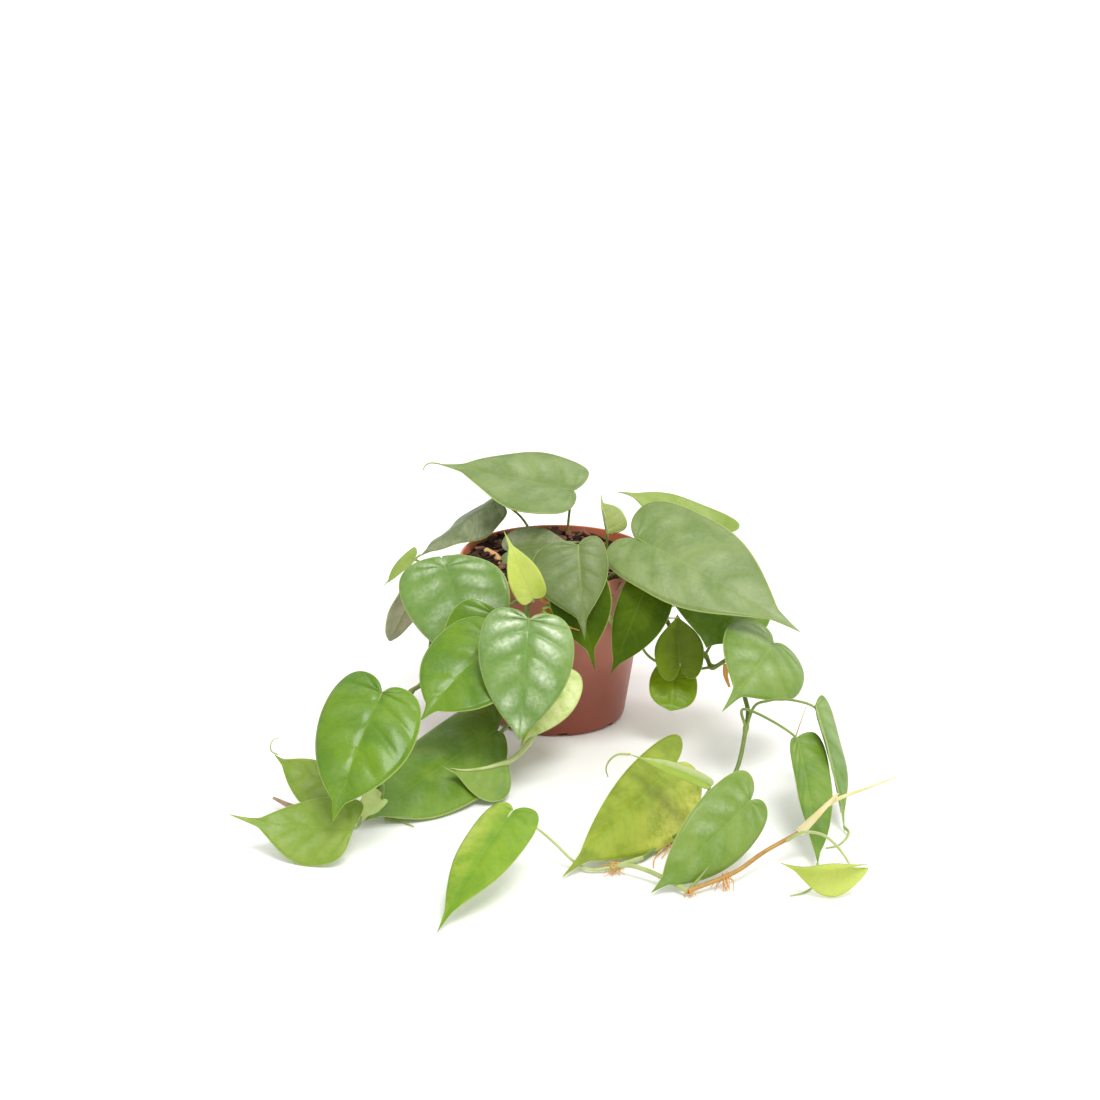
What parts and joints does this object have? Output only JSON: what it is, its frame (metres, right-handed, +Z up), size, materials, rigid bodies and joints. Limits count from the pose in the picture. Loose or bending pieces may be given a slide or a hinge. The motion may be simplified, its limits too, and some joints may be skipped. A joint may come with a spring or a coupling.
{
  "type": "potted plant",
  "caption": "Heartleaf philodendron in a round tapered nursery pot, with heart shaped leaves on stems that trail over the rim and along the surface.",
  "frame": {"origin": "centre of the pot's underside, on the surface that the pot stands on", "axes": "+Z up along the pot's axis; the stems trail over the rim towards -Y and lie along the surface there"},
  "size_m": [0.3758, 0.3808, 0.153],
  "materials": {
    "terracotta_plastic": "satin",
    "bark_soil": "matte",
    "stem": "satin",
    "leaf_green": "satin",
    "leaf_bright": "satin",
    "leaf_dark": "satin",
    "leaf_young": "satin",
    "dry_skin": "matte"
  },
  "bodies": {
    "root": {"pot": "terracotta_plastic", "soil": "bark_soil", "right_stem": "stem", "middle_stem": "stem", "left_stem": "stem", "shoot_sheath": "leaf_young", "young_shoot": "leaf_young", "left_sheath": "dry_skin", "dry_sheath": "dry_skin", "old_stub": "leaf_young", "leaf_01": "leaf_green", "leaf_02": "leaf_green", "leaf_03": "leaf_young", "leaf_04": "leaf_dark", "leaf_05": "leaf_green", "leaf_06": "leaf_green", "leaf_07": "leaf_bright", "leaf_08": "leaf_green", "leaf_09": "leaf_young", "leaf_10": "leaf_green", "leaf_11": "leaf_green", "leaf_12": "leaf_dark", "leaf_13": "leaf_dark", "leaf_14": "leaf_green", "leaf_15": "leaf_young", "leaf_16": "leaf_young", "leaf_17": "leaf_dark", "leaf_18": "leaf_dark", "leaf_19": "leaf_bright", "leaf_20": "leaf_green", "leaf_22": "leaf_green", "leaf_23": "leaf_green", "leaf_24": "leaf_young", "leaf_26": "leaf_green", "leaf_27": "leaf_bright", "leaf_28": "leaf_bright", "leaf_29": "leaf_bright", "leaf_30": "leaf_bright", "leaf_31": "leaf_green", "leaf_32": "leaf_green", "leaf_33": "leaf_young", "leaf_34": "leaf_bright", "leaf_35": "leaf_bright", "leaf_36": "leaf_green", "withered_leaf": "leaf_young"}
  },
  "joints": []
}
